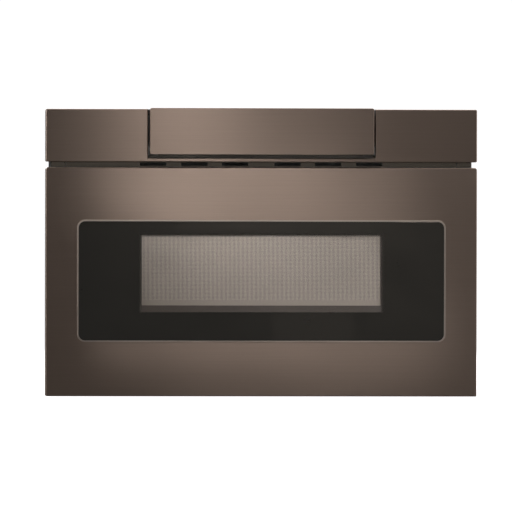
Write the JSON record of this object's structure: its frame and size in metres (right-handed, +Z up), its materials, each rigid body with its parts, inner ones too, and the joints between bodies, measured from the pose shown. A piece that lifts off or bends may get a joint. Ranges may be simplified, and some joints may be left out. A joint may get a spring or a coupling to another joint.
{
  "type": "microwave drawer",
  "caption": "Built-in microwave drawer: dark stainless drawer front with a glass window, fixed fascia with a tilting control flap, cavity in a sheet-metal case, motor-driven slides.",
  "frame": {"origin": "middle of the bounding box in X and Y, at the height of the drawer front's lower edge", "axes": "+X to the right as seen from the front, the front faces -Y and the drawer opens that way, +Z up"},
  "size_m": [0.606, 0.594, 0.4045],
  "materials": {
    "black_stainless": "dark warm-grey stainless, fine horizontal brushing, clear satin coat",
    "trim_steel": "polished dark stainless edge",
    "black_glass": "black back-painted toughened glass with a clear window",
    "clear_glass": "clear toughened glass",
    "mesh_steel": "perforated steel screen, light grey paint",
    "dark_steel": "dark grey-brown paint",
    "galvanised": "hot-dip galvanised sheet",
    "aluminised": "aluminised sheet",
    "zinc_steel": "zinc-plated steel",
    "screw_steel": "zinc-plated screw",
    "cavity_enamel": "light grey baked enamel",
    "choke_enamel": "grey baked enamel",
    "choke_plastic": "black moulded choke cover",
    "cover_plate": "off-white moulded cover",
    "tray_ceramic": "white glass-ceramic",
    "black_plastic": "black moulded plastic",
    "white_plastic": "white moulded plastic",
    "gear_plastic": "natural acetal",
    "seal_rubber": "black silicone",
    "motor_steel": "plated steel can",
    "yoke_steel": "zinc-plated yoke",
    "aluminium_part": "pressed aluminium",
    "core_steel": "varnished laminations",
    "winding": "varnished copper wire",
    "circuit_board": "green solder mask"
  },
  "bodies": {
    "chassis": {"base_pan": "galvanised", "side_panel_left": "galvanised", "side_panel_right": "galvanised", "rear_panel": "galvanised", "top_cover": "galvanised", "front_flange": "galvanised", "cavity_shell": "cavity_enamel", "stirrer_cover": "cover_plate", "stirrer_motor": "motor_steel", "waveguide": "aluminised", "magnetron_frame": "yoke_steel", "magnetron_anode": "aluminium_part", "fan_shroud": "aluminised", "fan_motor": "motor_steel", "transformer_core": "core_steel", "transformer_winding": "winding", "hv_capacitor": "aluminised", "power_board": "circuit_board", "line_filter_board": "circuit_board", "oven_lamp": "white_plastic", "exhaust_duct": "aluminised", "vent_grille": "dark_steel", "fascia_skin": "black_stainless", "fascia_core": "black_plastic", "pod_brackets": "zinc_steel", "drive_motor": "motor_steel", "motor_bracket": "zinc_steel", "outer_rails": "zinc_steel", "rail_brackets": "zinc_steel", "interlock_switches": "black_plastic", "cord_gland": "black_plastic", "chassis_screws": "screw_steel"},
    "drawer": {"drawer_skin": "black_stainless", "door_core": "black_plastic", "glass_trim": "trim_steel", "drawer_glass": "black_glass", "screen_retainer": "dark_steel", "mesh_screen": "mesh_steel", "inner_glass": "clear_glass", "window_seal": "seal_rubber", "choke_frame": "choke_enamel", "choke_cover": "choke_plastic", "tub": "cavity_enamel", "ceramic_tray": "tray_ceramic", "inner_rails": "zinc_steel", "rail_arms": "zinc_steel", "drawer_rack": "gear_plastic", "latch_hooks": "black_plastic", "drawer_screws": "screw_steel"},
    "mid_rail_left": {"mid_rail_left": "zinc_steel"},
    "mid_rail_right": {"mid_rail_right": "zinc_steel"},
    "drive_pinion": {"drive_pinion": "gear_plastic"},
    "control_pod": {"flap_skin": "black_stainless", "pod_housing": "black_plastic", "control_glass": "black_glass", "pod_board": "circuit_board", "pod_hinge_pins": "screw_steel"},
    "cooling_fan": {"fan_blade": "black_plastic"},
    "stirrer": {"stirrer_blade": "aluminium_part"},
    "interlock_plungers": {"interlock_plungers": "white_plastic"}
  },
  "joints": [
    {"name": "drawer_slide", "type": "slide", "parent": "chassis", "child": "drawer", "axis": [0, -1, 0], "range_m": [0, 0.38]},
    {"name": "mid_rail_left_slide", "type": "slide", "parent": "chassis", "child": "mid_rail_left", "axis": [0, -1, 0], "range_m": [0, 0.19]},
    {"name": "mid_rail_right_slide", "type": "slide", "parent": "chassis", "child": "mid_rail_right", "axis": [0, -1, 0], "range_m": [0, 0.19]},
    {"name": "pinion_spin", "type": "hinge", "parent": "chassis", "child": "drive_pinion", "pos_m": [0, -0.225, 0.03675], "axis": [1, 0, 0], "range_deg": [0, 1936]},
    {"name": "pod_tilt", "type": "hinge", "parent": "chassis", "child": "control_pod", "pos_m": [0, -0.28, 0.346], "axis": [1, 0, 0], "range_deg": [0, 45]},
    {"name": "fan_spin", "type": "hinge", "parent": "chassis", "child": "cooling_fan", "pos_m": [-0.093, 0.238, 0.252], "axis": [1, 0, 0], "continuous": true},
    {"name": "stirrer_spin", "type": "hinge", "parent": "chassis", "child": "stirrer", "pos_m": [0, -0.022, 0.282], "axis": [0, 0, 1], "continuous": true},
    {"name": "interlock_plungers_slide", "type": "slide", "parent": "chassis", "child": "interlock_plungers", "axis": [0, -1, 0], "range_m": [0, 0.003]}
  ],
  "couplings": [
    {"joint": "mid_rail_left_slide", "follows": "drawer_slide", "ratio": 0.5},
    {"joint": "mid_rail_right_slide", "follows": "drawer_slide", "ratio": 0.5},
    {"joint": "pinion_spin", "follows": "drawer_slide", "rad_per_m": 88.889},
    {"joint": "interlock_plungers_slide", "follows": "drawer_slide", "ratio": 0.00789}
  ]
}
